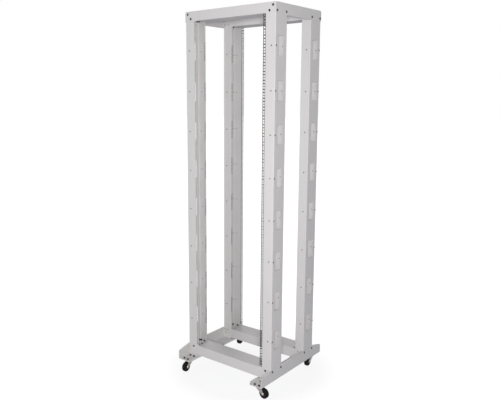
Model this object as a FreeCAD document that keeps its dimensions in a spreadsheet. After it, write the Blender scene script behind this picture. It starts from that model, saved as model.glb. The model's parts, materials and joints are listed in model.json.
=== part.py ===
import FreeCAD, Part
import os

import Sketcher

# Four-post open frame rack on swivel casters, in millimetres.
# X runs to the right, Y from front to rear and Z up.  The origin is on the floor,
# at the middle of the footprint.  SIDE is -1 for left and +1 for right, and END is
# -1 for front and +1 for rear, so one function makes a piece and its mirror images.

DIMENSIONS = (
    # alias, value, what it is
    ("rack_width", 600.0, "over the outer faces of the posts"),
    ("rack_depth", 430.0, "over the outer faces of the posts"),
    ("frame_top", 2068.0, "floor to the top of the frame"),
    ("foot_base", 72.0, "floor to the underside of the feet"),
    ("unit_pitch", 44.45, "height of one rack unit"),
    ("unit_count", 42, "rack units"),
    ("units_start", 148.0, "floor to the bottom of the first unit"),
    ("hole_columns", 465.1, "between the two columns of mounting holes"),
    ("hole_size", 9.5, "side of a square mounting hole"),
    ("hole_first", 6.35, "bottom of a unit to its first hole"),
    ("hole_step", 15.875, "between the holes of one unit"),
    ("post_gauge", 2.0, "sheet of the posts"),
    ("post_web", 100.0, "depth of a post, over its flanges"),
    ("rail_flange", 75.0, "width of the flange with the mounting holes"),
    ("inner_flange", 57.0, "width of the plain flange"),
    ("inner_lip", 14.0, "return on the edge of the plain flange"),
    ("lip_hole", 6.0, "side of a square hole in the return"),
    ("window_width", 52.0, "window in a post's web"),
    ("window_height", 102.0, "window in a post's web"),
    ("window_first", 3.5, "first window's middle, in units"),
    ("window_step", 5.0, "between windows, in units"),
    ("window_count", 8, "windows in a post"),
    ("screw_bore", 5.0, "screw holes beside the windows"),
    ("screw_web_inset", 7.0, "web's screw holes from the rail's face"),
    ("screw_flange_inset", 24.0, "flange's screw holes from the web's face"),
    ("bend_outer", 3.0, "outside radius of a bend"),
    ("bend_inner", 1.0, "inside radius of a bend"),
    ("beam_gauge", 2.0, "sheet of the beams"),
    ("beam_bend", 1.5, "outside radius of a beam's bend"),
    ("top_beam_height", 52.0, "front and rear beams of the top"),
    ("side_beam_height", 57.0, "side beams of the top"),
    ("base_beam_height", 58.0, "beams of the base"),
    ("cap_flange", 88.0, "flange of a top side beam, over the posts"),
    ("lip_depth", 12.0, "return on the edges of feet and side beams"),
    ("corner_round", 9.0, "rounded corners of the top"),
    ("foot_corner", 14.0, "rounded corners of a foot's bottom"),
    ("foot_bend", 5.0, "outside radius of a foot's bend"),
    ("foot_gauge", 3.0, "sheet of the feet"),
    ("foot_height", 70.0, "web of a foot between the posts"),
    ("foot_tip_height", 50.0, "web of a foot at its tips"),
    ("foot_reach", 304.0, "middle of the rack to a foot's tip"),
    ("foot_shoulder", 219.0, "middle of the rack to where a foot slopes down"),
    ("foot_flange", 88.0, "width of a foot's bottom"),
    ("stem_side", 260.0, "middle of the rack to a caster's stem, sideways"),
    ("stem_end", 261.0, "middle of the rack to a caster's stem, along a foot"),
    ("plate_width", 46.0, "across a caster's plate"),
    ("plate_length", 72.0, "along a caster's plate"),
    ("plate_corner", 5.0, "rounded corners of a caster's plate"),
    ("plate_gauge", 2.5, "caster's plate"),
    ("plate_bore", 6.4, "bolt holes of a caster's plate"),
    ("bore_pitch_across", 28.0, "between the bolt holes across the plate"),
    ("bore_pitch_along", 53.0, "between the bolt holes along the plate"),
    ("race_radius", 20.0, "swivel race under the plate"),
    ("race_height", 6.0, "swivel race under the plate"),
    ("race_gap", 0.5, "between the race and the fork"),
    ("pin_radius", 5.0, "swivel pin"),
    ("pin_head_radius", 8.0, "head of the swivel pin"),
    ("pin_head_height", 2.0, "head of the swivel pin"),
    ("running_fit", 0.06, "radial clearance of pins that turn"),
    ("fork_gauge", 2.5, "sheet of the fork"),
    ("fork_gap", 24.0, "between the fork's arms"),
    ("fork_crown", 21.0, "radius of the fork's crown"),
    ("fork_eye", 8.0, "radius of an arm around the axle"),
    ("trail", 30.0, "swivel pin to the wheel's axle"),
    ("wheel_radius", 28.0, "wheel"),
    ("wheel_width", 19.0, "wheel"),
    ("tread_round", 3.0, "rounded shoulders of the tread"),
    ("hub_radius", 9.0, "hub of the wheel"),
    ("hub_width", 23.0, "hub of the wheel"),
    ("dish_radius", 20.0, "dished side of the wheel"),
    ("dish_depth", 2.5, "dished side of the wheel"),
    ("axle_radius", 4.0, "axle bolt"),
    ("axle_head_radius", 6.5, "head and nut of the axle bolt"),
    ("axle_head_height", 4.0, "head and nut of the axle bolt"),
    ("front_left_swivel", -87.0, "direction of the trail, degrees from +X"),
    ("front_right_swivel", -3.0, "direction of the trail, degrees from +X"),
    ("rear_left_swivel", -85.0, "direction of the trail, degrees from +X"),
    ("rear_right_swivel", -88.0, "direction of the trail, degrees from +X"),
)

LEFT, RIGHT = -1, 1
FRONT, REAR = -1, 1
CORNERS = (
    ("front_left", LEFT, FRONT),
    ("front_right", RIGHT, FRONT),
    ("rear_left", LEFT, REAR),
    ("rear_right", RIGHT, REAR),
)
TINY = 1e-4

doc = FreeCAD.newDocument("four_post_rack")
size = doc.addObject("Spreadsheet::Sheet", "size")
for row, (alias, value, note) in enumerate(DIMENSIONS, start=1):
    size.set(f"A{row}", note)
    size.set(f"B{row}", str(value))
    size.setAlias(f"B{row}", alias)
doc.recompute()

# Places that several pieces share, as expressions on the sheet.
POST_BOTTOM = "(size.foot_base + size.foot_gauge)"
POST_TOP = "(size.frame_top - size.beam_gauge)"
BASE_BEAM_BOTTOM = "(size.foot_base + size.lip_depth)"
BASE_BEAM_TOP = "(size.foot_base + size.lip_depth + size.base_beam_height)"
FOOT_TOP = "(size.foot_base + size.foot_height)"
WINDOW_MIDDLE = "(size.units_start + size.window_first * size.unit_pitch)"


def new_body(label):
    body = doc.addObject("PartDesign::Body", label)
    body.Label = label
    return body


def origin_feature(body, role):
    return next(f for f in body.Origin.OriginFeatures if f.Role == role)


def sketch_on(body, name, plane, at):
    """A sketch on one of the body's origin planes, moved to the coordinate AT.

    The plane is XY, XZ or YZ; the sketch's two axes are the plane's two letters.
    """
    sketch = body.newObject("Sketcher::SketchObject", name)
    sketch.AttachmentSupport = [(origin_feature(body, f"{plane}_Plane"), "")]
    sketch.MapMode = "FlatFace"
    sign = "-" if plane == "XZ" else ""
    sketch.setExpression("AttachmentOffset.Base.z", f"{sign}({at})")
    return sketch


def value_of(text):
    return float(size.evalExpression(text.replace("size.", "")))


def fix_point(sketch, geometry, point, place):
    """Holds a point of the sketch at the two expressions of PLACE."""
    for kind, text in zip(("DistanceX", "DistanceY"), place):
        index = sketch.addConstraint(
            Sketcher.Constraint(kind, -1, 1, geometry, point, value_of(text))
        )
        sketch.setExpression(f"Constraints[{index}]", text)


def add_polygon(sketch, corners):
    """A closed outline through corners that are pairs of expressions."""
    first = sketch.GeometryCount
    places = [FreeCAD.Vector(value_of(a), value_of(b), 0) for a, b in corners]
    for start, stop in zip(places, places[1:] + places[:1]):
        sketch.addGeometry(Part.LineSegment(start, stop), False)
    for step in range(len(corners)):
        following = first + (step + 1) % len(corners)
        sketch.addConstraint(Sketcher.Constraint("Coincident", first + step, 2, following, 1))
    for step, place in enumerate(corners):
        fix_point(sketch, first + step, 1, place)


def add_circle(sketch, centre, radius):
    middle = FreeCAD.Vector(value_of(centre[0]), value_of(centre[1]), 0)
    index = sketch.addGeometry(
        Part.Circle(middle, FreeCAD.Vector(0, 0, 1), value_of(radius)), False
    )
    fix_point(sketch, index, 3, centre)
    constraint = sketch.addConstraint(Sketcher.Constraint("Radius", index, value_of(radius)))
    sketch.setExpression(f"Constraints[{constraint}]", radius)


def rectangle(low_a, high_a, low_b, high_b):
    return [(low_a, low_b), (high_a, low_b), (high_a, high_b), (low_a, high_b)]


def square(middle_a, middle_b, side):
    return rectangle(
        f"{middle_a} - {side} / 2", f"{middle_a} + {side} / 2",
        f"{middle_b} - {side} / 2", f"{middle_b} + {side} / 2",
    )


def add_pad(body, name, plane, at, outlines, thickness, circles=()):
    """A flat plate whose middle plane is at AT."""
    sketch = sketch_on(body, f"{name}_outline", plane, at)
    for outline in outlines:
        add_polygon(sketch, outline)
    for centre, radius in circles:
        add_circle(sketch, centre, radius)
    pad = body.newObject("PartDesign::Pad", name)
    pad.Profile = sketch
    pad.SideType = "Symmetric"
    pad.setExpression("Length", thickness)
    sketch.Visibility = False
    return pad


def add_pocket(body, name, plane, at, outlines, thickness, circles=()):
    """Openings cut to the same depth on both sides of the plane AT."""
    sketch = sketch_on(body, f"{name}_outline", plane, at)
    for outline in outlines:
        add_polygon(sketch, outline)
    for centre, radius in circles:
        add_circle(sketch, centre, radius)
    doc.recompute()
    before = body.Tip.Shape.Volume
    pocket = body.newObject("PartDesign::Pocket", name)
    pocket.Profile = sketch
    pocket.SideType = "Symmetric"
    pocket.setExpression("Length", thickness)
    sketch.Visibility = False
    doc.recompute()
    if not body.Tip.Shape.Volume < before - TINY:
        raise RuntimeError(f"{body.Label}: {name} cuts nothing")
    return pocket


def repeat_upwards(body, name, features, step, count):
    pattern = body.newObject("PartDesign::LinearPattern", name)
    pattern.Originals = features
    pattern.Direction = (origin_feature(body, "Z_Axis"), [""])
    pattern.setExpression("Length", f"{step} * ({count} - 1)")
    pattern.setExpression("Occurrences", count)
    body.Tip = pattern
    doc.recompute()
    return pattern


def edges_along(shape, axis, places):
    """Names of the straight edges along an axis that pass through any of PLACES.

    A place is the other two coordinates, in the order X, Y, Z.
    """
    others = [i for i in range(3) if i != axis]
    names = []
    for number, edge in enumerate(shape.Edges, start=1):
        if edge.Curve.TypeId != "Part::GeomLine":
            continue
        start, stop = (vertex.Point for vertex in edge.Vertexes)
        if any(abs(start[i] - stop[i]) > TINY for i in others):
            continue
        for place in places:
            if all(abs(start[i] - place[k]) < TINY for k, i in enumerate(others)):
                names.append(f"Edge{number}")
                break
    return names


def round_edges(body, name, axis, places, radius):
    doc.recompute()
    base = body.Tip
    values = [(value_of(a), value_of(b)) for a, b in places]
    names = edges_along(base.Shape, axis, values)
    if not names:
        raise RuntimeError(f"{body.Label}: {name} finds no edge")
    fillet = body.newObject("PartDesign::Fillet", name)
    fillet.Base = (base, names)
    fillet.setExpression("Radius", radius)
    doc.recompute()
    return fillet


def make_post(label, side, end):
    """A folded channel: web outside, mounting flange at the rack's face."""
    body = new_body(label)
    half_width = "size.rack_width / 2"
    half_depth = "size.rack_depth / 2"
    outer_x = f"{side} * {half_width}"
    rail_x = f"{side} * ({half_width} - size.rail_flange)"
    inner_x = f"{side} * ({half_width} - size.inner_flange)"
    face_y = f"{end} * {half_depth}"
    back_y = f"{end} * ({half_depth} - size.post_web)"
    lip_y = f"{end} * ({half_depth} - size.post_web + size.inner_lip)"
    middle_y = f"{end} * ({half_depth} - size.post_web / 2)"
    web_plane = f"{side} * ({half_width} - size.post_gauge / 2)"
    rail_plane = f"{end} * ({half_depth} - size.post_gauge / 2)"
    back_plane = f"{end} * ({half_depth} - size.post_web + size.post_gauge / 2)"
    lip_plane = f"{side} * ({half_width} - size.inner_flange + size.post_gauge / 2)"
    gauge = "size.post_gauge"

    add_pad(body, "web", "YZ", web_plane,
            [rectangle(face_y, back_y, POST_BOTTOM, POST_TOP)], gauge)
    add_pad(body, "rail", "XZ", rail_plane,
            [rectangle(outer_x, rail_x, POST_BOTTOM, POST_TOP)], gauge)
    add_pad(body, "plain_flange", "XZ", back_plane,
            [rectangle(outer_x, inner_x, POST_BOTTOM, POST_TOP)], gauge)
    add_pad(body, "lip", "YZ", lip_plane,
            [rectangle(back_y, lip_y, POST_BOTTOM, POST_TOP)], gauge)

    outside = [(outer_x, face_y), (outer_x, back_y), (inner_x, back_y)]
    inside = [
        (f"{side} * ({half_width} - {gauge})", f"{end} * ({half_depth} - {gauge})"),
        (f"{side} * ({half_width} - {gauge})",
         f"{end} * ({half_depth} - size.post_web + {gauge})"),
        (f"{side} * ({half_width} - size.inner_flange + {gauge})",
         f"{end} * ({half_depth} - size.post_web + {gauge})"),
    ]
    round_edges(body, "bends_outside", 2, outside, "size.bend_outer")
    round_edges(body, "bends_inside", 2, inside, "size.bend_inner")

    low = f"({WINDOW_MIDDLE} - size.window_height / 2)"
    high = f"({WINDOW_MIDDLE} + size.window_height / 2)"
    web_screw_y = f"{end} * ({half_depth} - size.screw_web_inset)"
    window = add_pocket(
        body, "window", "YZ", web_plane,
        [rectangle(f"{middle_y} - size.window_width / 2",
                   f"{middle_y} + size.window_width / 2", low, high)],
        "size.post_gauge * 4", [((web_screw_y, WINDOW_MIDDLE), "size.screw_bore / 2")])
    flange_screws = add_pocket(
        body, "flange_screws", "XZ", middle_y, [], "size.post_web * 1.2",
        [((f"{side} * ({half_width} - size.screw_flange_inset)", WINDOW_MIDDLE),
          "size.screw_bore / 2")])
    lip_middle = f"{end} * ({half_depth} - size.post_web + size.inner_lip / 2 + {gauge} / 2)"
    lip_heights = ["0"]
    for reach in ("size.hole_step", "(size.unit_pitch - size.hole_step)", "size.unit_pitch"):
        lip_heights += [reach, f"-1 * {reach}"]
    lip_holes = add_pocket(
        body, "lip_holes", "YZ", lip_plane,
        [square(lip_middle, f"{WINDOW_MIDDLE} + {height}", "size.lip_hole")
         for height in lip_heights],
        "size.post_gauge * 4")
    repeat_upwards(body, "windows", [window, flange_screws, lip_holes],
                   "size.window_step * size.unit_pitch", "size.window_count")

    column_x = f"{side} * size.hole_columns / 2"
    unit = add_pocket(
        body, "unit_holes", "XZ", rail_plane,
        [square(column_x, f"size.units_start + size.hole_first + {step} * size.hole_step",
                "size.hole_size")
         for step in range(3)],
        "size.post_gauge * 4")
    repeat_upwards(body, "mounting_holes", [unit], "size.unit_pitch", "size.unit_count")
    return body


def make_cross_beam(label, end, bottom, top, level, wall_ends, inner_outline):
    """A front or rear beam: two walls that clasp the posts and a shelf between them.

    LEVEL is the middle of the shelf and WALL_ENDS the reach of the outer wall.
    """
    body = new_body(label)
    gauge = "size.beam_gauge"
    half_width = "size.rack_width / 2"
    outer_plane = f"{end} * (size.rack_depth / 2 + {gauge} / 2)"
    inner_plane = f"{end} * (size.rack_depth / 2 - size.post_web - {gauge} / 2)"
    outer_y = f"{end} * (size.rack_depth / 2 + {gauge})"
    inner_y = f"{end} * (size.rack_depth / 2 - size.post_web - {gauge})"
    shelf_x = f"({half_width} - size.rail_flange)"

    add_pad(body, "outer_wall", "XZ", outer_plane,
            [rectangle(f"-1 * {wall_ends}", wall_ends, bottom, top)], gauge)
    add_pad(body, "shelf", "XY", level,
            [rectangle(f"-1 * {shelf_x}", shelf_x, outer_y, inner_y)], gauge)
    add_pad(body, "inner_wall", "XZ", inner_plane, [inner_outline], gauge)
    return body, outer_y, inner_y


def make_top_cross_beam(label, end):
    """Its inner wall steps down at both ends to pass under the side beams' returns."""
    bottom = "(size.frame_top - size.top_beam_height)"
    wall_ends = "(size.rack_width / 2 + size.beam_gauge)"
    ends_x = "(size.rack_width / 2)"
    step_x = "(size.rack_width / 2 - size.cap_flange)"
    step_z = "(size.frame_top - size.lip_depth)"
    inner_outline = [
        (f"-1 * {ends_x}", bottom), (ends_x, bottom), (ends_x, step_z), (step_x, step_z),
        (step_x, "size.frame_top"), (f"-1 * {step_x}", "size.frame_top"),
        (f"-1 * {step_x}", step_z), (f"-1 * {ends_x}", step_z),
    ]
    body, outer_y, inner_y = make_cross_beam(
        label, end, bottom, "size.frame_top", f"{bottom} + size.beam_gauge / 2", wall_ends,
        inner_outline)
    round_edges(body, "bends", 0, [(outer_y, bottom), (inner_y, bottom)], "size.beam_bend")
    round_edges(body, "corners", 1,
                [(f"{side} * {wall_ends}", "size.frame_top") for side in (LEFT, RIGHT)],
                "size.corner_round")
    return body


def make_base_cross_beam(label, end):
    ends_x = "(size.rack_width / 2)"
    body, outer_y, inner_y = make_cross_beam(
        label, end, BASE_BEAM_BOTTOM, BASE_BEAM_TOP, f"{BASE_BEAM_TOP} - size.beam_gauge / 2",
        ends_x, rectangle(f"-1 * {ends_x}", ends_x, BASE_BEAM_BOTTOM, BASE_BEAM_TOP))
    round_edges(body, "bends", 0, [(outer_y, BASE_BEAM_TOP), (inner_y, BASE_BEAM_TOP)],
                "size.beam_bend")
    return body


def make_top_side_beam(label, side):
    """A channel that caps the posts' tops, with returns on both of its edges."""
    body = new_body(label)
    gauge = "size.beam_gauge"
    outer_x = f"{side} * (size.rack_width / 2 + {gauge})"
    inner_x = f"{side} * (size.rack_width / 2 - size.cap_flange)"
    lip_x = f"{side} * (size.rack_width / 2 + {gauge} - size.lip_depth)"
    web_plane = f"{side} * (size.rack_width / 2 + {gauge} / 2)"
    lip_plane = f"{side} * (size.rack_width / 2 - size.cap_flange + {gauge} / 2)"
    bottom = "(size.frame_top - size.side_beam_height)"
    half_depth = "(size.rack_depth / 2)"
    flange_y = f"({half_depth} - size.corner_round)"
    between_posts = f"({half_depth} - size.post_web - {gauge})"

    add_pad(body, "web", "YZ", web_plane,
            [rectangle(f"-1 * {half_depth}", half_depth, bottom, "size.frame_top")], gauge)
    add_pad(body, "cap", "XY", f"size.frame_top - {gauge} / 2",
            [rectangle(outer_x, inner_x, f"-1 * {flange_y}", flange_y)], gauge)
    add_pad(body, "cap_lip", "YZ", lip_plane,
            [rectangle(f"-1 * {flange_y}", flange_y,
                       "(size.frame_top - size.lip_depth)", "size.frame_top")], gauge)
    add_pad(body, "web_lip", "XY", f"{bottom} + {gauge} / 2",
            [rectangle(outer_x, lip_x, f"-1 * {between_posts}", between_posts)], gauge)
    round_edges(body, "corners", 0,
                [(f"{end} * {half_depth}", "size.frame_top") for end in (FRONT, REAR)],
                "size.corner_round")
    return body


def make_foot(label, side):
    """A side foot: a web that slopes down to low tips, a bottom that the casters
    bolt to, and returns on the edges."""
    body = new_body(label)
    gauge = "size.foot_gauge"
    outer_x = f"{side} * (size.rack_width / 2 + {gauge})"
    inner_x = f"{side} * (size.rack_width / 2 + {gauge} - size.foot_flange)"
    lip_x = f"{side} * (size.rack_width / 2 + {gauge} - size.lip_depth)"
    web_plane = f"{side} * (size.rack_width / 2 + {gauge} / 2)"
    inner_plane = f"{side} * (size.rack_width / 2 + {gauge} - size.foot_flange + {gauge} / 2)"
    slope_plane = f"{side} * (size.rack_width / 2 + {gauge} - size.lip_depth / 2)"
    tip_top = "(size.foot_base + size.foot_tip_height)"
    straight = "(size.foot_reach - size.foot_corner)"
    between_posts = "(size.rack_depth / 2 - size.post_web - size.beam_gauge)"

    add_pad(body, "web", "YZ", web_plane, [[
        ("-1 * size.foot_reach", "size.foot_base"), ("size.foot_reach", "size.foot_base"),
        ("size.foot_reach", tip_top), ("size.foot_shoulder", FOOT_TOP),
        ("-1 * size.foot_shoulder", FOOT_TOP), ("-1 * size.foot_reach", tip_top),
    ]], gauge)
    add_pad(body, "bottom", "XY", f"size.foot_base + {gauge} / 2",
            [rectangle(outer_x, inner_x, "-1 * size.foot_reach", "size.foot_reach")], gauge)
    add_pad(body, "bottom_lip", "YZ", inner_plane,
            [rectangle(f"-1 * {straight}", straight, "size.foot_base", BASE_BEAM_BOTTOM)],
            gauge)
    add_pad(body, "web_lip", "XY", f"{FOOT_TOP} - {gauge} / 2",
            [rectangle(outer_x, lip_x, f"-1 * {between_posts}", between_posts)], gauge)
    for name, end in (("front_slope", FRONT), ("rear_slope", REAR)):
        add_pad(body, name, "YZ", slope_plane, [[
            (f"{end} * size.foot_shoulder", FOOT_TOP), (f"{end} * size.foot_reach", tip_top),
            (f"{end} * size.foot_reach", f"{tip_top} - {gauge}"),
            (f"{end} * size.foot_shoulder", f"{FOOT_TOP} - {gauge}"),
        ]], "size.lip_depth")
    round_edges(body, "bottom_corners", 2,
                [(inner_x, f"{end} * size.foot_reach") for end in (FRONT, REAR)],
                "size.foot_corner")
    round_edges(body, "bend", 1, [(outer_x, "size.foot_base")], "size.foot_bend")
    bolts = [
        ((f"{side} * size.stem_side + {a} * size.bore_pitch_across / 2",
          f"{end} * size.stem_end + {b} * size.bore_pitch_along / 2"), "size.plate_bore / 2")
        for end in (FRONT, REAR) for a in (-1, 1) for b in (-1, 1)
    ]
    add_pocket(body, "caster_bolt_holes", "XY", f"size.foot_base + {gauge} / 2", [],
               f"{gauge} * 1.5", bolts)
    return body


def place_on_stem(body, side, end, swivel=None):
    """Puts a piece on the caster's stem, turned to the direction of the trail."""
    body.setExpression("Placement.Base.x", f"{side} * size.stem_side")
    body.setExpression("Placement.Base.y", f"{end} * size.stem_end")
    if swivel:
        body.Placement.Rotation = FreeCAD.Rotation(FreeCAD.Vector(0, 0, 1), value_of(swivel))
        body.setExpression("Placement.Rotation.Angle", f"{swivel} * 1 deg")


def place_on_axle(body, side, end, swivel):
    """Puts a piece's own origin at the middle of the wheel's axle."""
    place_on_stem(body, side, end, swivel)
    body.setExpression("Placement.Base.x",
                       f"{side} * size.stem_side + size.trail * cos({swivel} * 1 deg)")
    body.setExpression("Placement.Base.y",
                       f"{end} * size.stem_end + size.trail * sin({swivel} * 1 deg)")
    body.setExpression("Placement.Base.z", "size.wheel_radius")


RACE_TOP = "(size.foot_base - size.plate_gauge)"
RACE_BOTTOM = "(size.foot_base - size.plate_gauge - size.race_height)"
CROWN_TOP = f"({RACE_BOTTOM} - size.race_gap)"
CROWN_BOTTOM = f"({CROWN_TOP} - size.fork_gauge)"
PIN_HEAD_TOP = f"({CROWN_BOTTOM} - size.running_fit)"
PIN_BOTTOM = f"({PIN_HEAD_TOP} - size.pin_head_height)"


def between(low, high):
    return f"({low} + {high}) / 2", f"{high} - {low}"


def make_caster_plate(label, side, end):
    """The plate under the foot with the swivel race and the headed pin."""
    body = new_body(label)
    level, height = between(RACE_TOP, "size.foot_base")
    bores = [
        ((f"{a} * size.bore_pitch_across / 2", f"{b} * size.bore_pitch_along / 2"),
         "size.plate_bore / 2")
        for a in (-1, 1) for b in (-1, 1)
    ]
    half_width, half_length = "size.plate_width / 2", "size.plate_length / 2"
    outline = rectangle(f"-1 * {half_width}", half_width, f"-1 * {half_length}", half_length)
    add_pad(body, "plate", "XY", level, [outline], height, bores)
    centre = ("0", "0")
    for name, low, high, radius in (
        ("race", RACE_BOTTOM, RACE_TOP, "size.race_radius"),
        ("pin", PIN_BOTTOM, RACE_BOTTOM, "size.pin_radius"),
        ("pin_head", PIN_BOTTOM, PIN_HEAD_TOP, "size.pin_head_radius"),
    ):
        level, height = between(low, high)
        add_pad(body, name, "XY", level, [], height, [(centre, radius)])
    round_edges(body, "corners", 2,
                [(f"{a} * {half_width}", f"{b} * {half_length}")
                 for a in (-1, 1) for b in (-1, 1)],
                "size.plate_corner")
    place_on_stem(body, side, end)
    return body


def make_fork(label, side, end, swivel):
    """A crown that turns on the pin, and two arms that carry the axle."""
    body = new_body(label)
    level, height = between(CROWN_BOTTOM, CROWN_TOP)
    add_pad(body, "crown", "XY", level, [], height, [(("0", "0"), "size.fork_crown")])
    chord = "(size.fork_crown * 0.7)"
    shoulder = f"({CROWN_BOTTOM} - size.fork_eye)"
    for name, way in (("left_arm", -1), ("right_arm", 1)):
        plane = f"{way} * (size.fork_gap / 2 + size.fork_gauge / 2)"
        add_pad(body, name, "XZ", plane, [[
            (f"-1 * {chord}", CROWN_TOP), (chord, CROWN_TOP),
            ("size.trail + size.fork_eye * 0.94", "size.wheel_radius + size.fork_eye * 0.34"),
            ("size.trail - size.fork_eye * 0.8", "size.wheel_radius - size.fork_eye * 0.6"),
            (f"-1 * {chord}", shoulder),
        ]], "size.fork_gauge")
        add_pad(body, f"{name}_eye", "XZ", plane, [], "size.fork_gauge",
                [(("size.trail", "size.wheel_radius"), "size.fork_eye")])
    add_pocket(body, "pin_hole", "XY", level, [], f"({height}) * 2",
               [(("0", "0"), "size.pin_radius + size.running_fit")])
    add_pocket(body, "axle_holes", "XZ", "0", [], "size.fork_gap * 2",
               [(("size.trail", "size.wheel_radius"), "size.axle_radius + size.running_fit")])
    place_on_stem(body, side, end, swivel)
    return body


def revolve(body, name, profile):
    """Turns a half section, given as (along the axle, radius), around the axle."""
    sketch = sketch_on(body, f"{name}_section", "YZ", "0")
    add_polygon(sketch, profile)
    turned = body.newObject("PartDesign::Revolution", name)
    turned.Profile = sketch
    turned.ReferenceAxis = (sketch, ["H_Axis"])
    turned.Angle = 360
    sketch.Visibility = False
    return turned


def mirrored_profile(half):
    """Completes a section from its +Y half."""
    return half + [(f"-1 * ({along})", radius) for along, radius in reversed(half)]


def make_axle(label, side, end, swivel):
    body = new_body(label)
    arm = "(size.fork_gap / 2 + size.fork_gauge)"
    revolve(body, "bolt", mirrored_profile([
        (f"{arm} + size.axle_head_height", "0"),
        (f"{arm} + size.axle_head_height", "size.axle_head_radius"),
        (arm, "size.axle_head_radius"),
        (arm, "size.axle_radius"),
    ]))
    place_on_axle(body, side, end, swivel)
    return body


def make_wheel(label, side, end, swivel):
    body = new_body(label)
    half_wheel = "size.wheel_width / 2"
    revolve(body, "wheel", mirrored_profile([
        ("size.hub_width / 2", "size.axle_radius + size.running_fit"),
        ("size.hub_width / 2", "size.hub_radius"),
        (f"{half_wheel} - size.dish_depth", "size.hub_radius"),
        (f"{half_wheel} - size.dish_depth", "size.dish_radius"),
        (half_wheel, "size.dish_radius"),
        (half_wheel, "size.wheel_radius - size.tread_round"),
        (f"{half_wheel} - size.tread_round", "size.wheel_radius"),
    ]))
    place_on_axle(body, side, end, swivel)
    return body


def finish_document():
    doc.recompute()
    failed = [o.Name for o in doc.Objects if "Invalid" in o.State or "Error" in o.State]
    if failed:
        raise RuntimeError(f"failed features: {failed}")


def export(bodies):
    for body in bodies:
        shape = body.Shape
        if shape.isNull() or not shape.isValid() or len(shape.Solids) < 1:
            raise RuntimeError(f"{body.Label} is not a valid solid")
    os.makedirs("parts", exist_ok=True)
    for body in bodies:
        body.Shape.exportStep(f"parts/{body.Label}.step")


def build():
    bodies = []
    for corner, side, end in CORNERS:
        bodies.append(make_post(f"{corner}_post", side, end))
    for place, end in (("front", FRONT), ("rear", REAR)):
        bodies.append(make_top_cross_beam(f"top_{place}_beam", end))
        bodies.append(make_base_cross_beam(f"base_{place}_beam", end))
    for place, side in (("left", LEFT), ("right", RIGHT)):
        bodies.append(make_top_side_beam(f"top_{place}_beam", side))
        bodies.append(make_foot(f"{place}_foot", side))
    for corner, side, end in CORNERS:
        swivel = f"size.{corner}_swivel"
        bodies.append(make_caster_plate(f"{corner}_caster_plate", side, end))
        bodies.append(make_fork(f"{corner}_caster_fork", side, end, swivel))
        bodies.append(make_axle(f"{corner}_caster_axle", side, end, swivel))
        bodies.append(make_wheel(f"{corner}_caster_wheel", side, end, swivel))
    return bodies


bodies = build()
finish_document()
export(bodies)
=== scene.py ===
"""Looks for a tall four post open frame rack: powder coat, screws, casters, studio and camera."""

import json
import math

import bpy
import numpy as np
from mathutils import Euler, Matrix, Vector

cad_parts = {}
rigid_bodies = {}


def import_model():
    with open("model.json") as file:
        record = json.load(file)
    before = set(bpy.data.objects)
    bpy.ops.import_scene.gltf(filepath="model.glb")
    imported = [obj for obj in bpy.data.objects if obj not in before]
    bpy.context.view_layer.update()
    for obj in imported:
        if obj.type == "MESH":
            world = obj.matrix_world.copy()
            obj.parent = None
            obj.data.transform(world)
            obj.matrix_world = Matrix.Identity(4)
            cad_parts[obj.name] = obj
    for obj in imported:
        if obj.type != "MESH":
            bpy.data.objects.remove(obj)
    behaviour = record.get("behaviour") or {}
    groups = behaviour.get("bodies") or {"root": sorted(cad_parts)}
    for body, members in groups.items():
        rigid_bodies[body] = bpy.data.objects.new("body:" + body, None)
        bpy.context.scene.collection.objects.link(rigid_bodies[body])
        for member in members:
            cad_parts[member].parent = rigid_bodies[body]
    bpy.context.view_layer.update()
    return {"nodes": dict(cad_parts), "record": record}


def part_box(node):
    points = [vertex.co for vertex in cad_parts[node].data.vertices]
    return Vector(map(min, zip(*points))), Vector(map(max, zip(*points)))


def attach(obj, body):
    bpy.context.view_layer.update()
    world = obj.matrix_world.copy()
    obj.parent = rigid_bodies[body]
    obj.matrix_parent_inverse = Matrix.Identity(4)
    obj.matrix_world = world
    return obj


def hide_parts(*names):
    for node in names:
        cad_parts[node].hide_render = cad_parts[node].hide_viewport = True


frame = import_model()

MM = 0.001
CORNERS = {
    "front_left": (-1, -1),
    "front_right": (1, -1),
    "rear_left": (-1, 1),
    "rear_right": (1, 1),
}
JOINTS = {joint["name"]: joint for joint in frame["record"]["behaviour"]["joints"]}

# Rack units and the holes that repeat with them.
UNIT = 44.45 * MM
UNITS_START = 148 * MM
UNIT_COUNT = 42
HOLE_COLUMN = 232.55 * MM
HOLE_STEP = 15.875 * MM
HOLE_HALF = 4.75 * MM
WINDOW_PITCH = 5 * UNIT
WINDOW_LEVELS = [UNITS_START + 3.5 * UNIT + WINDOW_PITCH * step for step in range(8)]
LIP_HOLE_Y = 123 * MM
LIP_HOLE_HALF = 3 * MM
LIP_HOLE_STEPS = (0, HOLE_STEP, UNIT - HOLE_STEP, UNIT)
LIP_X = 244 * MM
POST_HOLES_TOP = UNITS_START + UNIT_COUNT * UNIT + MM

# Screws: how far each sits from the edge of its sheet and from the top of its beam.
TOP_SCREWS = ((16 * MM, 15 * MM), (37 * MM, 40 * MM))
TOP_INNER_SCREWS = ((12 * MM, 15 * MM), (12 * MM, 40 * MM), (35 * MM, 40 * MM))
BASE_SCREWS = ((37 * MM, 10 * MM),)
BASE_INNER_SCREWS = ((12 * MM, 10 * MM), (35 * MM, 10 * MM), (16 * MM, 35 * MM))
SIDE_SCREW_INSETS = (10 * MM, 92 * MM)
SIDE_SCREW_DROP = 41 * MM
FOOT_SCREW_DROP = 10 * MM
BEAM_GRIP = 4 * MM
FOOT_GRIP = 5 * MM
WEB_SCREW_INSET = 7 * MM
FLANGE_SCREW_INSET = 24 * MM

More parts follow.
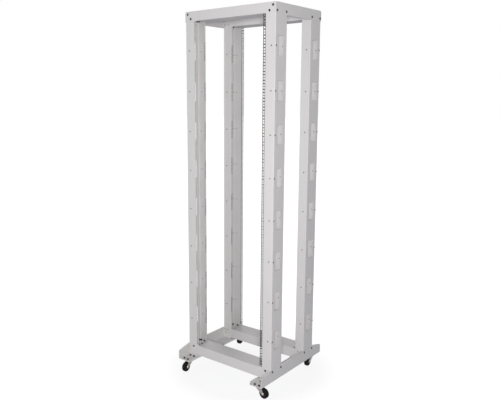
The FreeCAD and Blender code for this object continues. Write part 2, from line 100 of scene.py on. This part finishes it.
# Painted shade round the square holes: near-black rims that stand in for the dark seen
# through them. How far out the shade fades, how ragged its edge is, how much narrower it is
# sideways, how much of it the front left post is spared, and how far from the middle a sheet
# counts as a rail.
MOUNT_SHADE_FADE = (3.2 * MM, 4.0 * MM)
LIP_SHADE_FADE = (1.2 * MM, 2.0 * MM)
SHADE_RAGGED = 0.9 * MM
SHADE_SQUEEZE = 1.2
FRONT_LEFT_SPARED = 0.9
RAIL_START_Y = 208 * MM

# Casters: the fork's outer face from the wheel's middle, the sheets that the plate bolts
# hold, and the bolts' spacing across and along the plate.
FORK_FACE = 14.5 * MM
FOOT_SHEET = 3 * MM
PLATE_SHEET = 2.5 * MM
PLATE_PITCH = (28 * MM, 53 * MM)

# Colours, as linear red, green and blue.
WHITE = (1.0, 1.0, 1.0)
LIGHT_GREY = (0.620, 0.607, 0.600)
RUBBED_COAT = (0.72, 0.72, 0.70)
CHIPPED_COAT = (0.40, 0.40, 0.40)
# Painted shade: near-black for the rims round the posts' holes, standing in for the dark seen
# through them.
HOLE_SHADE_DARK = (0.022, 0.021, 0.020)
PLATE_ZINC = (0.66, 0.64, 0.62)
AXLE_ZINC = (0.60, 0.59, 0.58)
YELLOWED_ZINC = (0.72, 0.66, 0.56)
BLACK_OXIDE = (0.035, 0.035, 0.038)
BROWN_OXIDE = (0.075, 0.065, 0.055)
BARE_STEEL = (0.30, 0.30, 0.30)
RUBBER = (0.008, 0.007, 0.007)
FLOOR_DUST = (0.06, 0.056, 0.052)
DARK_PLASTIC = (0.012, 0.012, 0.013)
RUBBED_PLASTIC = (0.035, 0.035, 0.037)
FLOOR_GREY = (0.42, 0.42, 0.43)
COOL_WHITE = (0.91, 0.93, 1.0)
SKY_WHITE = (0.92, 0.925, 1.0)

# Worn edges: how far the cosine between the rounded and the flat normal has to fall short
# of 1 for wear to start and for it to be full.
EDGE_TURN = (0.01, 0.16)
BEVEL_SAMPLES = 4

# Meshes: points round each turned shape, the wheel core's ribs and the wave that raises
# them, the angle at which faces meet sharply, and how upright a normal counts as vertical.
SCREW_SEGMENTS = 24
SMALL_SEGMENTS = 12
AXLE_NUT_SEGMENTS = 30
WHEEL_SEGMENTS = 96
CORE_RIBS = 6
RIB_STEEPNESS = 3
RIB_DROP = 1.6
SHARP_DEGREES = 32
UPRIGHT = 0.9

# Studio: the floor's size, its depth below the wheels, the light that it throws back, its
# glow to the eye, the glow's share near the object, and where that share grows to 1.
FLOOR_REACH = 40.0
FLOOR_DROP = 0.5 * MM
FLOOR_BOUNCE = 0.17
FLOOR_GLOW = 1.15
NEAR_SHARE = 0.72
FLOOR_FADE = (0.40, 0.80)
SKY_LEVEL = 0.27

# Lamps: name, place, target, side, watts, colour, and whether bright surfaces mirror it.
LAMPS = (
    ("key_softbox", (2.12, -2.82, 1.62), (0, 0, 1.25), 0.5, 88, (1.0, 0.995, 0.99), True),
    ("front_softbox", (-0.8, -3.4, 1.2), (-0.3, 0, 1.1), 1.2, 14, (1.0, 0.985, 0.97), True),
    ("rear_softbox", (-2.0, 2.9, 1.8), (0, 0, 1.2), 1.2, 30, (1.0, 0.995, 0.99), False),
)

# Camera: its place in metres, its dip and turn in degrees, and its lens in millimetres.
CAMERA_PLACE = (2.0061, -2.7002, 1.5978)
CAMERA_DIP = 9.719
CAMERA_TURN = 39.181
CAMERA_LENS = 42.55
CAMERA_SHIFT = 0.0494
SENSOR_WIDTH = 36.0


# ---------------------------------------------------------------- shader maths


class Value:
    """A socket whose arithmetic adds Math nodes, so shader maths reads as expressions."""

    def __init__(self, shader, socket):
        self.shader = shader
        self.socket = socket

    def math(self, operation, *others, clamp=False):
        settings = {"operation": operation, "use_clamp": clamp}
        return self.shader.add("ShaderNodeMath", settings, dict(enumerate((self, *others))))

    def __add__(self, other):
        return self.math("ADD", other)

    __radd__ = __add__

    def __sub__(self, other):
        return self.math("SUBTRACT", other)

    def __rsub__(self, other):
        return self * -1.0 + other

    def __mul__(self, other):
        return self.math("MULTIPLY", other)

    __rmul__ = __mul__

    def __abs__(self):
        return self.math("ABSOLUTE")

    def clamped(self):
        return self.math("ADD", 0.0, clamp=True)

    def repeated(self, pitch):
        """How far the value is from the nearest whole multiple of PITCH."""
        return abs((self * (1.0 / pitch) + 0.5).math("FRACT") - 0.5) * pitch

    def nearest(self, steps):
        """How far the value is from the nearest of STEPS."""
        distance = abs(self - steps[0])
        for step in steps[1:]:
            distance = distance.math("MINIMUM", abs(self - step))
        return distance

    def ramp(self, low, high):
        """0 below LOW, 1 above HIGH, and a straight line between."""
        return ((self - low) * (1.0 / (high - low))).clamped()


class Shader:
    """The nodes of one material or world."""

    def __init__(self, owner):
        owner.use_nodes = True
        self.owner = owner
        self.tree = owner.node_tree
        self.tree.nodes.clear()

    def add(self, kind, settings=None, inputs=None, output=0):
        """Adds a node: its settings first, then its sockets' values or links."""
        node = self.tree.nodes.new(kind)
        for key, value in (settings or {}).items():
            setattr(node, key, value)
        for key, value in (inputs or {}).items():
            socket = node.inputs[key]
            if isinstance(value, Value):
                self.tree.links.new(value.socket, socket)
            elif socket.type == "RGBA":
                socket.default_value = (*value, 1.0)
            else:
                socket.default_value = value
        return Value(self, node.outputs[output]) if node.outputs else None

    def place(self, scale=(1.0, 1.0, 1.0)):
        """Object coordinates in metres, stretched by SCALE."""
        coordinates = self.add("ShaderNodeTexCoord", output="Object")
        return self.add("ShaderNodeMapping", inputs={"Vector": coordinates, "Scale": scale})

    def along(self, axis):
        """The object coordinate X, Y or Z in metres."""
        return self.add("ShaderNodeSeparateXYZ", inputs={"Vector": self.place()}, output=axis)

    def noise(self, scale, detail, stretch=(1.0, 1.0, 1.0), roughness=0.5):
        inputs = {"Vector": self.place(stretch), "Scale": scale, "Detail": detail,
                  "Roughness": roughness}
        return self.add("ShaderNodeTexNoise", inputs=inputs)

    def cells(self, scale):
        inputs = {"Vector": self.place(), "Scale": scale}
        return self.add("ShaderNodeTexVoronoi", inputs=inputs)

    def blend(self, factor, first, second):
        settings = {"data_type": "RGBA"}
        return self.add("ShaderNodeMix", settings, {0: factor, 6: first, 7: second}, output=2)

    def shade(self, colour, factor):
        """COLOUR with its brightness multiplied by FACTOR."""
        settings = {"operation": "SCALE"}
        return self.add("ShaderNodeVectorMath", settings, {0: colour, "Scale": factor})

    def bump(self, height, strength, distance):
        inputs = {"Height": height, "Strength": strength, "Distance": distance}
        return self.add("ShaderNodeBump", inputs=inputs)

    def worn_edges(self, radius):
        """1 where the surface turns a corner within RADIUS, 0 on the flat."""
        rounded = self.add("ShaderNodeBevel", {"samples": BEVEL_SAMPLES}, {"Radius": radius})
        flat = self.add("ShaderNodeNewGeometry", output="Normal")
        along = self.add("ShaderNodeVectorMath", {"operation": "DOT_PRODUCT"},
                         {0: rounded, 1: flat}, output="Value")
        return (1.0 - along).ramp(*EDGE_TURN)

    def surface(self, inputs):
        shader = self.add("ShaderNodeBsdfPrincipled", inputs=inputs)
        self.add("ShaderNodeOutputMaterial", inputs={"Surface": shader})
        return self.owner


def painted_hole_shade(shader):
    """1 on the walls and rims of the posts' square holes, fading a little out from them.

    The coat is painted near-black there as shade, standing in for the dark seen through
    the holes. On a mounting hole the shade reaches about 3 mm above and below it and a
    little less to the sides: the distance is the larger of the upward one past the hole and
    SHADE_SQUEEZE times the sideways one. The shade round the front left post's mounting
    holes is a tenth as strong as the others.
    """
    right, rear = shader.along("X").ramp(-MM, MM), shader.along("Y").ramp(-MM, MM)
    x, y, z = abs(shader.along("X")), abs(shader.along("Y")), shader.along("Z")
    ragged = shader.noise(420.0, 3.0) * SHADE_RAGGED
    in_unit = (z - (UNITS_START + UNIT / 2)).repeated(UNIT).nearest((0, HOLE_STEP))
    sideways = (abs(x - HOLE_COLUMN) - HOLE_HALF) * SHADE_SQUEEZE
    mount = sideways.math("MAXIMUM", in_unit - HOLE_HALF)
    mount = 1.0 - (mount + ragged).ramp(*MOUNT_SHADE_FADE)
    front_left = (1.0 - right) * (1.0 - rear)
    mount = mount * (1.0 - front_left * FRONT_LEFT_SPARED)
    column = (y.ramp(RAIL_START_Y, RAIL_START_Y + MM)
              * z.ramp(UNITS_START, UNITS_START + MM)
              * (1.0 - z.ramp(UNITS_START + UNIT_COUNT * UNIT, POST_HOLES_TOP)))
    in_window = (z - WINDOW_LEVELS[0]).repeated(WINDOW_PITCH).nearest(LIP_HOLE_STEPS)
    lip = abs(y - LIP_HOLE_Y).math("MAXIMUM", in_window) - LIP_HOLE_HALF
    lip = 1.0 - (lip + ragged).ramp(*LIP_SHADE_FADE)
    beside = x.ramp(LIP_X - 2 * MM, LIP_X - MM) * (1.0 - x.ramp(LIP_X + MM, LIP_X + 2 * MM))
    return (mount * column + lip * beside).clamped()


def powder_coat(name, colour, wear, holes=False):
    """Fine textured coat: an orange-peel skin, faint clouding and handling marks."""
    shader = Shader(bpy.data.materials.new(name))
    peel = shader.noise(900.0, 2.0)
    pores = shader.cells(420.0)
    clouds = shader.noise(5.0, 4.0)
    streaks = shader.noise(14.0, 3.0, stretch=(3.0, 3.0, 0.25))
    scuffs = shader.noise(60.0, 5.0, stretch=(1.0, 1.0, 0.3), roughness=0.7).ramp(0.60, 0.72)
    edges = shader.worn_edges(0.9 * MM) * shader.noise(38.0, 4.0, roughness=0.7).ramp(0.42, 0.7)
    tone = 0.955 + clouds * 0.06 + streaks * 0.03 + pores * 0.032
    coat = shader.shade(colour, tone)
    rubbed = shader.blend(scuffs * (0.10 * wear), coat, RUBBED_COAT)
    chipped_and_hole_shade = shader.blend(edges * (0.55 * wear), rubbed, CHIPPED_COAT)
    if holes:
        # Painted shade: near-black rims round the square holes stand in for the dark seen through
        # them.
        chipped_and_hole_shade = shader.blend(painted_hole_shade(shader), chipped_and_hole_shade, HOLE_SHADE_DARK)
    return shader.surface({
        "Base Color": chipped_and_hole_shade,
        "Roughness": 0.40 + peel * 0.10 + scuffs * 0.08 - edges * 0.08,
        "Normal": shader.bump(peel * 0.7 + pores * 0.3, 0.22, 0.12 * MM),
        "IOR": 1.48,
    })


def zinc_plate(name, colour, roughness):
    """Bright plated steel: fine rolling marks, cloudy passivation and dull spots."""
    shader = Shader(bpy.data.materials.new(name))
    grain = shader.noise(260.0, 3.0, stretch=(1.0, 1.0, 6.0))
    cloud = shader.noise(55.0, 4.0)
    spots = shader.noise(210.0, 3.0).ramp(0.60, 0.70)
    edges = shader.worn_edges(0.5 * MM)
    tint = shader.blend(cloud, colour, YELLOWED_ZINC)
    tone = 0.86 + grain * 0.20 - spots * 0.16 + edges * 0.22
    return shader.surface({
        "Base Color": shader.shade(tint, tone),
        "Metallic": 0.92,
        "Roughness": roughness + grain * 0.12 + spots * 0.18 - edges * 0.08,
        "Normal": shader.bump(grain, 0.18, 0.08 * MM),
    })


def blackened_steel(name):
    """Black-finished screws: dark oxide, browner in patches and rubbed bright on edges."""
    shader = Shader(bpy.data.materials.new(name))
    patch = shader.noise(400.0, 3.0)
    edges = shader.worn_edges(0.4 * MM)
    colour = shader.blend(patch * 0.6, BLACK_OXIDE, BROWN_OXIDE)
    bright = shader.blend(edges * 0.35, colour, BARE_STEEL)
    return shader.surface({
        "Base Color": bright,
        "Metallic": 0.75,
        "Roughness": 0.42 + patch * 0.2 - edges * 0.1,
        "Normal": shader.bump(patch, 0.2, 0.05 * MM),
    })


def tyre_rubber(name):
    """Black rubber, greyed by floor dust on the tread and mottled on the walls."""
    shader = Shader(bpy.data.materials.new(name))
    grit = shader.noise(520.0, 4.0, roughness=0.65)
    dust = shader.noise(90.0, 4.0, roughness=0.7).ramp(0.48, 0.70)
    colour = shader.blend(dust * 0.22, RUBBER, FLOOR_DUST)
    return shader.surface({
        "Base Color": colour,
        "Roughness": 0.55 + dust * 0.25 + grit * 0.08,
        "Normal": shader.bump(grit, 0.35, 0.15 * MM),
        "Specular IOR Level": 0.10,
    })


def moulded_core(name):
    """Dark moulded plastic of the wheel's core: low gloss with a fine spark grain."""
    shader = Shader(bpy.data.materials.new(name))
    grain = shader.cells(1500.0)
    flow = shader.noise(120.0, 3.0)
    edges = shader.worn_edges(0.5 * MM)
    colour = shader.blend(flow * 0.5 + edges * 0.3, DARK_PLASTIC, RUBBED_PLASTIC)
    return shader.surface({
        "Base Color": colour,
        "Roughness": 0.38 + flow * 0.12 + grain * 0.12,
        "Normal": shader.bump(grain, 0.2, 0.1 * MM),
        "Specular IOR Level": 0.12,
    })


FINISHES = {
    # The frame's coat carries the painted shade round the posts' holes.
    "frame_powder_coat": powder_coat("light_grey_powder_coat", LIGHT_GREY, 0.6, holes=True),
    "foot_powder_coat": powder_coat("light_grey_foot_coat", LIGHT_GREY, 1.0),
    "caster_zinc": zinc_plate("bright_zinc_plate", PLATE_ZINC, 0.26),
    "axle_zinc": zinc_plate("axle_zinc_plate", AXLE_ZINC, 0.30),
    "wheel_rubber": tyre_rubber("black_tyre_rubber"),
}
CORE_PLASTIC = moulded_core("dark_moulded_core")
BLACK_STEEL = blackened_steel("blackened_screw_steel")

SLOTS = {entry["node"]: entry["material_slot"] for entry in frame["record"]["subparts"]}
for node, thing in frame["nodes"].items():
    thing.data.materials.clear()
    thing.data.materials.append(FINISHES[SLOTS[node]])


# ------------------------------------------------------------------- new pieces


def ring_faces(rows, columns, closed):
    """Quads of a grid whose columns run round a ring; CLOSED joins the last row to the first."""
    steps = rows if closed else rows - 1
    row = np.arange(steps)[:, None]
    column = np.arange(columns)[None, :]
    after_row = (row + 1) % rows
    after_column = (column + 1) % columns
    corners = (row * columns + column, row * columns + after_column,
               after_row * columns + after_column, after_row * columns + column)
    return np.stack(np.broadcast_arrays(*corners), axis=-1).reshape(-1, 4)


def pole_faces(pole, first, columns, backwards):
    """Triangles from the point POLE to the row of COLUMNS points that starts at FIRST."""
    column = np.arange(columns)
    after = (column + 1) % columns
    start, stop = (after, column) if backwards else (column, after)
    return np.stack([np.full(columns, pole), first + start, first + stop], axis=-1)


def outward(points, quads, fans):
    """Turns the faces round where the shape's signed volume is below zero."""
    triangles = np.concatenate([quads[:, [0, 1, 2]], quads[:, [0, 2, 3]], fans])
    a, b, c = (points[triangles[:, i]] for i in range(3))
    if np.einsum("ij,ij->i", a, np.cross(b, c)).sum() < 0:
        return quads[:, ::-1], fans[:, ::-1]
    return quads, fans


def hexagon(angle):
    """Share of the corner radius at an angle.

    It is the cosine of 30 degrees over the cosine of the angle from the nearest flat's middle.
    """
    sixth = math.pi / 3
    return math.cos(sixth / 2) / np.cos(np.mod(angle, sixth) - sixth / 2)


def turned(profile, segments, closed=False, ribs=0):
    """A profile carried round the Z axis.

    A profile's row is (radius, height, share of hexagon, rib). At angle t the point
    is radius times (1 + share * (hexagon(t) - 1)) out from the axis. Its height gains rib
    times a wave that is 1 on each of RIBS ribs and 0 between them: RIB_STEEPNESS times
    the cosine of RIBS times t, less RIB_DROP, kept from 0 to 1. An open profile is closed
    by a pole at each end.
    """
    profile = np.array(profile, float)
    angle = np.arange(segments) * (2 * math.pi / segments)
    radius = profile[:, 0:1] * (1 + profile[:, 2:3] * (hexagon(angle) - 1))
    height = np.repeat(profile[:, 1:2], segments, axis=1)
    if ribs:
        wave = np.clip(RIB_STEEPNESS * np.cos(angle * ribs) - RIB_DROP, 0, 1)
        height = height + profile[:, 3:4] * wave
    points = np.stack([radius * np.cos(angle), radius * np.sin(angle), height], axis=-1)
    points = points.reshape(-1, 3)
    rows = len(profile)
    quads = ring_faces(rows, segments, closed)
    fans = np.empty((0, 3), int)
    if not closed:
        poles = np.array([[0, 0, profile[0, 1]], [0, 0, profile[-1, 1]]])
        start, stop = len(points), len(points) + 1
        points = np.concatenate([points, poles])
        fans = np.concatenate([
            pole_faces(start, 0, segments, True),
            pole_faces(stop, (rows - 1) * segments, segments, False),
        ])
    return (points, *outward(points, quads, fans))


def copies(shape, places, normals):
    """The shape at every place, with its Z axis along the normal there."""
    points, quads, fans = shape
    places = np.asarray(places, float)
    normals = np.asarray(normals, float)
    upright = np.abs(normals[:, 2:3]) > UPRIGHT
    helper = np.where(upright, [[1.0, 0.0, 0.0]], [[0.0, 0.0, 1.0]])
    across = np.cross(helper, normals)
    across /= np.linalg.norm(across, axis=1, keepdims=True)
    turns = np.stack([across, np.cross(normals, across), normals], axis=1)
    moved = points @ turns + places[:, None, :]
    offsets = (np.arange(len(places)) * len(points))[:, None, None]
    return (moved.reshape(-1, 3), (quads + offsets).reshape(-1, 4),
            (fans + offsets).reshape(-1, 3))


def make_piece(name, shape, material, body):
    """Puts the arrays into a mesh object that rides on a body."""
    points, quads, fans = shape
    mesh = bpy.data.meshes.new(name)
    mesh.from_pydata(points.tolist(), [], quads.tolist() + fans.tolist())
    mesh.shade_smooth()
    mesh.set_sharp_from_angle(angle=math.radians(SHARP_DEGREES))
    mesh.materials.append(material)
    piece = bpy.data.objects.new(name, mesh)
    bpy.context.scene.collection.objects.link(piece)
    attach(piece, body)
    return piece


def millimetres(rows):
    """Profile rows written in millimetres, with the share of hexagon left as it is."""
    return [(radius * MM, height * MM, share, rib * MM) for radius, height, share, rib in rows]


def both_halves(half):
    """Completes a section (radius, height, rib) with its mirror image below."""
    upper = [(radius, height, 0, rib) for radius, height, rib in half]
    lower = [(radius, -height, 0, -rib) for radius, height, _, rib in reversed(upper)]
    return millimetres(upper + lower)


# Profiles in millimetres, from the middle of a head outwards and down into the sheet.
SCREW = turned(millimetres([
    (1.0, 1.2, 1.0, 0), (2.3, 1.2, 1.0, 0), (2.3, 2.7, 1.0, 0), (2.6, 3.0, 0.5, 0),
    (3.4, 2.9, 0, 0), (4.4, 2.3, 0, 0), (5.1, 1.4, 0, 0), (5.4, 0.4, 0, 0),
    (5.4, 0.1, 0, 0), (6.4, 0.1, 0, 0), (6.5, -0.4, 0, 0),
]), SCREW_SEGMENTS)
NUT = turned(millimetres([
    (1.8, 7.2, 0, 0), (2.5, 7.2, 0, 0), (2.9, 6.8, 0, 0), (2.9, 5.2, 0, 0),
    (3.5, 5.2, 0, 0), (4.8, 5.2, 0, 0), (5.7, 4.6, 1.0, 0), (5.7, 1.0, 1.0, 0),
    (5.9, 1.0, 0, 0), (6.3, 0.8, 0, 0), (6.3, -0.4, 0, 0),
]), SCREW_SEGMENTS)
PLATE_BOLT = turned(millimetres([
    (2.0, 3.6, 0, 0), (4.2, 3.6, 0, 0), (5.4, 3.2, 1.0, 0), (5.5, 2.9, 1.0, 0),
    (5.5, 0.3, 1.0, 0), (5.3, -0.4, 1.0, 0),
]), SCREW_SEGMENTS)
SCREW_END = turned(millimetres([
    (1.5, 2.6, 0, 0), (2.4, 2.3, 0, 0), (2.7, 1.9, 0, 0), (2.7, -0.4, 0, 0),
]), SMALL_SEGMENTS)
WEB_SCREW = turned(millimetres([
    (1.6, 2.0, 0, 0), (3.2, 1.7, 0, 0), (4.2, 0.9, 0, 0), (4.4, 0.1, 0, 0),
    (2.4, -0.4, 0, 0), (2.3, -4.0, 0, 0),
]), SMALL_SEGMENTS)
FLANGE_SCREW = turned(millimetres([
    (1.4, 1.7, 0, 0), (2.6, 1.4, 0, 0), (3.3, 0.8, 0, 0), (3.5, 0.1, 0, 0),
    (2.4, -0.4, 0, 0), (2.3, -3.6, 0, 0),
]), SMALL_SEGMENTS)
AXLE_NUT = turned(millimetres([
    (1.6, 4.0, 0, 0), (3.0, 4.0, 0, 0), (3.2, 3.6, 0, 0), (3.4, 3.6, 0, 0),
    (5.2, 3.6, 0, 0), (6.3, 3.0, 1.0, 0), (6.4, 2.6, 1.0, 0), (6.4, 0.6, 1.0, 0),
    (6.4, 0.5, 0, 0), (6.5, 0.0, 0, 0), (3.9, 0.0, 0, 0), (3.9, -15.0, 0, 0),
]), AXLE_NUT_SEGMENTS)

# Half sections in millimetres as (radius, height, rib), from the inside outwards.
TYRE_HALF = [
    (19.4, 8.2, 0), (20.0, 9.0, 0), (21.0, 9.4, 0), (22.8, 9.5, 0), (24.8, 9.4, 0),
    (26.3, 8.9, 0), (27.3, 7.9, 0), (27.85, 6.6, 0), (27.95, 3.4, 0), (27.5, 3.1, 0),
    (27.5, 2.5, 0), (27.95, 2.2, 0), (28.0, 1.0, 0),
]
CORE_HALF = [
    (4.1, 11.4, 0), (7.6, 11.4, 0), (8.4, 11.0, 0), (8.8, 9.6, 0), (9.2, 6.2, 2.4),
    (10.2, 5.8, 2.8), (14.0, 5.8, 2.8), (17.4, 5.8, 2.8), (18.4, 6.2, 2.4),
    (18.9, 8.4, 0.2), (19.5, 8.7, 0), (19.9, 8.4, 0),
]
TYRE = turned(both_halves(TYRE_HALF), WHEEL_SEGMENTS, closed=True)
CORE = turned(both_halves(CORE_HALF), WHEEL_SEGMENTS, closed=True, ribs=CORE_RIBS)


def frame_screws():
    """The screws of the beams and feet: through the outer sheets, and through the inner ones.

    A row holds a head's place, the way it faces and the thickness that it clamps.
    """
    outer, inner = [], []
    for side in (-1, 1):
        flank = "left" if side < 0 else "right"
        beam_low, beam_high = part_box(f"top_{flank}_beam")
        foot_low, foot_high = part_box(f"{flank}_foot")
        beam_x = side * max(abs(beam_low.x), abs(beam_high.x))
        foot_x = side * max(abs(foot_low.x), abs(foot_high.x))
        for end in (-1, 1):
            word = "front" if end < 0 else "rear"
            post_x = side * max(abs(v.x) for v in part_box(f"{word}_{flank}_post"))
            for level, outer_screws, inner_screws in (
                    ("top", TOP_SCREWS, TOP_INNER_SCREWS),
                    ("base", BASE_SCREWS, BASE_INNER_SCREWS)):
                low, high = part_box(f"{level}_{word}_beam")
                face_y, inside_y = (low.y, high.y) if end < 0 else (high.y, low.y)
                for inset, drop in outer_screws:
                    place = (post_x - side * inset, face_y, high.z - drop)
                    outer.append((place, (0, end, 0), BEAM_GRIP))
                for inset, drop in inner_screws:
                    place = (post_x - side * inset, inside_y + end * BEAM_GRIP, high.z - drop)
                    inner.append((place, (0, end, 0), BEAM_GRIP))
            for inset in SIDE_SCREW_INSETS:
                y = end * (beam_high.y - inset)
                outer.append(((beam_x, y, beam_high.z - SIDE_SCREW_DROP), (side, 0, 0),
                              BEAM_GRIP))
                outer.append(((foot_x, y, foot_high.z - FOOT_SCREW_DROP), (side, 0, 0),
                              FOOT_GRIP))
    return outer, inner


def screw_heads(rows):
    """Where the heads sit, and the way that they face."""
    return [place for place, _, _ in rows], [normal for _, normal, _ in rows]


def screw_ends(rows):
    """Where the screws come out: one grip behind each head, facing the other way."""
    places = [Vector(place) - Vector(normal) * grip for place, normal, grip in rows]
    return [tuple(place) for place in places], [tuple(-Vector(n)) for _, n, _ in rows]


def post_screws():
    """The small screws level with the windows: in the webs, and in the flanges.

    The rows are as in frame_screws, with no thickness because nothing shows behind.
    """
    web, flange = [], []
    for corner, (side, end) in CORNERS.items():
        low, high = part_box(f"{corner}_post")
        web_x = side * max(abs(low.x), abs(high.x))
        face_y = end * max(abs(low.y), abs(high.y))
        back_y = end * min(abs(low.y), abs(high.y))
        for level in WINDOW_LEVELS:
            web.append(((web_x, face_y - end * WEB_SCREW_INSET, level), (side, 0, 0), 0))
            for y, way in ((face_y, end), (back_y, -end)):
                place = (web_x - side * FLANGE_SCREW_INSET, y, level)
                flange.append((place, (0, way, 0), 0))
    return web, flange


outer_screws, inner_screws = frame_screws()
web_screws, flange_screws = post_screws()
for name, shape, spots in (
        ("beam_screws", SCREW, screw_heads(outer_screws)),
        ("beam_screw_nuts", NUT, screw_ends(outer_screws)),
        ("inner_beam_screws", SCREW, screw_heads(inner_screws)),
        ("inner_beam_screw_ends", SCREW_END, screw_ends(inner_screws)),
        ("post_web_screws", WEB_SCREW, screw_heads(web_screws)),
        ("post_flange_screws", FLANGE_SCREW, screw_heads(flange_screws))):
    make_piece(name, copies(shape, *spots), BLACK_STEEL, "frame")


def caster_looks(corner, side):
    """Tyre, core, axle nuts, plate nuts and plate bolts of one caster."""
    roll = JOINTS[f"{corner}_roll"]
    centre, axle = roll["pos_m"], roll["axis"]
    wheel_body, fork_body = roll["child"], roll["parent"]
    tyre = make_piece(f"{corner}_tyre", copies(TYRE, [centre], [axle]),
                      FINISHES["wheel_rubber"], wheel_body)
    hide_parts(f"{corner}_caster_wheel")
    make_piece(f"{corner}_wheel_core", copies(CORE, [centre], [axle]), CORE_PLASTIC,
               wheel_body)

    axle = Vector(axle)
    faces = [(Vector(centre) + axle * (way * FORK_FACE), axle * way) for way in (-1, 1)]
    nuts = copies(AXLE_NUT, [tuple(p) for p, _ in faces], [tuple(n) for _, n in faces])
    nuts = make_piece(f"{corner}_axle_nuts", nuts, FINISHES["axle_zinc"], fork_body)
    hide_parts(f"{corner}_caster_axle")

    low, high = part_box(f"{corner}_caster_plate")
    middle = (low + high) / 2
    foot_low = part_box(f"{'left' if side < 0 else 'right'}_foot")[0].z
    spots = [
        (middle.x + a * PLATE_PITCH[0] / 2, middle.y + b * PLATE_PITCH[1] / 2)
        for a in (-1, 1) for b in (-1, 1)
    ]
    make_piece(f"{corner}_plate_nuts",
               copies(NUT, [(x, y, foot_low + FOOT_SHEET) for x, y in spots], [(0, 0, 1)] * 4),
               BLACK_STEEL, "frame")
    make_piece(f"{corner}_plate_bolts",
               copies(PLATE_BOLT, [(x, y, foot_low - PLATE_SHEET) for x, y in spots],
                      [(0, 0, -1)] * 4),
               FINISHES["axle_zinc"], "frame")


for corner, (side, _) in CORNERS.items():
    caster_looks(corner, side)


# ----------------------------------------------------------------- studio stage


def studio_floor():
    """A wide pale floor that reads as white to the eye and keeps a soft shadow.

    The eye sees a share of glow that grows from NEAR_SHARE near the middle to 1 further
    out. Everything else sees grey that throws back an even FLOOR_BOUNCE.
    """
    mesh = bpy.data.meshes.new("studio_floor")
    signs = ((-1, -1), (1, -1), (1, 1), (-1, 1))
    corners = [(x * FLOOR_REACH, y * FLOOR_REACH, 0) for x, y in signs]
    mesh.from_pydata(corners, [], [(0, 1, 2, 3)])
    floor = bpy.data.objects.new("studio_floor", mesh)
    floor.location.z = -FLOOR_DROP
    shader = Shader(bpy.data.materials.new("pale_floor"))
    diffuse = shader.add("ShaderNodeBsdfDiffuse", inputs={"Color": FLOOR_GREY})
    bounce = shader.add("ShaderNodeEmission",
                        inputs={"Color": COOL_WHITE, "Strength": FLOOR_BOUNCE})
    diffuse = shader.add("ShaderNodeAddShader", inputs={0: diffuse, 1: bounce})
    glow = shader.add("ShaderNodeEmission",
                      inputs={"Color": WHITE, "Strength": FLOOR_GLOW})
    seen = shader.add("ShaderNodeLightPath", output="Is Camera Ray")
    away = shader.add("ShaderNodeVectorMath", {"operation": "LENGTH"},
                      {0: shader.place()}, output="Value")
    share = NEAR_SHARE + away.ramp(*FLOOR_FADE) * (1.0 - NEAR_SHARE)
    surface = shader.add("ShaderNodeMixShader", inputs={0: seen * share, 1: diffuse, 2: glow})
    shader.add("ShaderNodeOutputMaterial", inputs={"Surface": surface})
    mesh.materials.append(shader.owner)
    bpy.context.scene.collection.objects.link(floor)


def studio_world():
    """Even light on the object, and white where the sky itself is seen or mirrored."""
    world = bpy.data.worlds.new("studio")
    bpy.context.scene.world = world
    shader = Shader(world)
    even = shader.add("ShaderNodeBackground", inputs={"Color": SKY_WHITE, "Strength": SKY_LEVEL})
    white = shader.add("ShaderNodeBackground", inputs={"Color": WHITE, "Strength": 1.0})
    seen, mirrored, passed = (
        shader.add("ShaderNodeLightPath", output=f"Is {kind} Ray")
        for kind in ("Camera", "Glossy", "Transmission")
    )
    direct = (seen + mirrored + passed).clamped()
    sky = shader.add("ShaderNodeMixShader", inputs={0: direct, 1: even, 2: white})
    shader.add("ShaderNodeOutputWorld", inputs={"Surface": sky})


def soft_lamp(name, place, target, side, watts, colour, mirrored):
    """A square area lamp that faces TARGET; MIRRORED says whether bright surfaces show it."""
    data = bpy.data.lights.new(name, "AREA")
    data.shape = "SQUARE"
    data.size = side
    data.energy = watts
    data.color = colour
    lamp = bpy.data.objects.new(name, data)
    lamp.location = place
    aim = Vector(target) - Vector(place)
    lamp.rotation_euler = aim.to_track_quat("-Z", "Y").to_euler()
    lamp.visible_glossy = mirrored
    bpy.context.scene.collection.objects.link(lamp)


studio_floor()
studio_world()
for lamp in LAMPS:
    soft_lamp(*lamp)

camera_data = bpy.data.cameras.new("camera")
camera_data.sensor_width = SENSOR_WIDTH
camera_data.lens = CAMERA_LENS
camera_data.shift_x = CAMERA_SHIFT
camera = bpy.data.objects.new("camera", camera_data)
camera.location = CAMERA_PLACE
camera.rotation_euler = Euler((math.radians(90 - CAMERA_DIP), 0, math.radians(CAMERA_TURN)))
bpy.context.scene.collection.objects.link(camera)
bpy.context.scene.camera = camera
bpy.context.scene.view_settings.view_transform = "Standard"
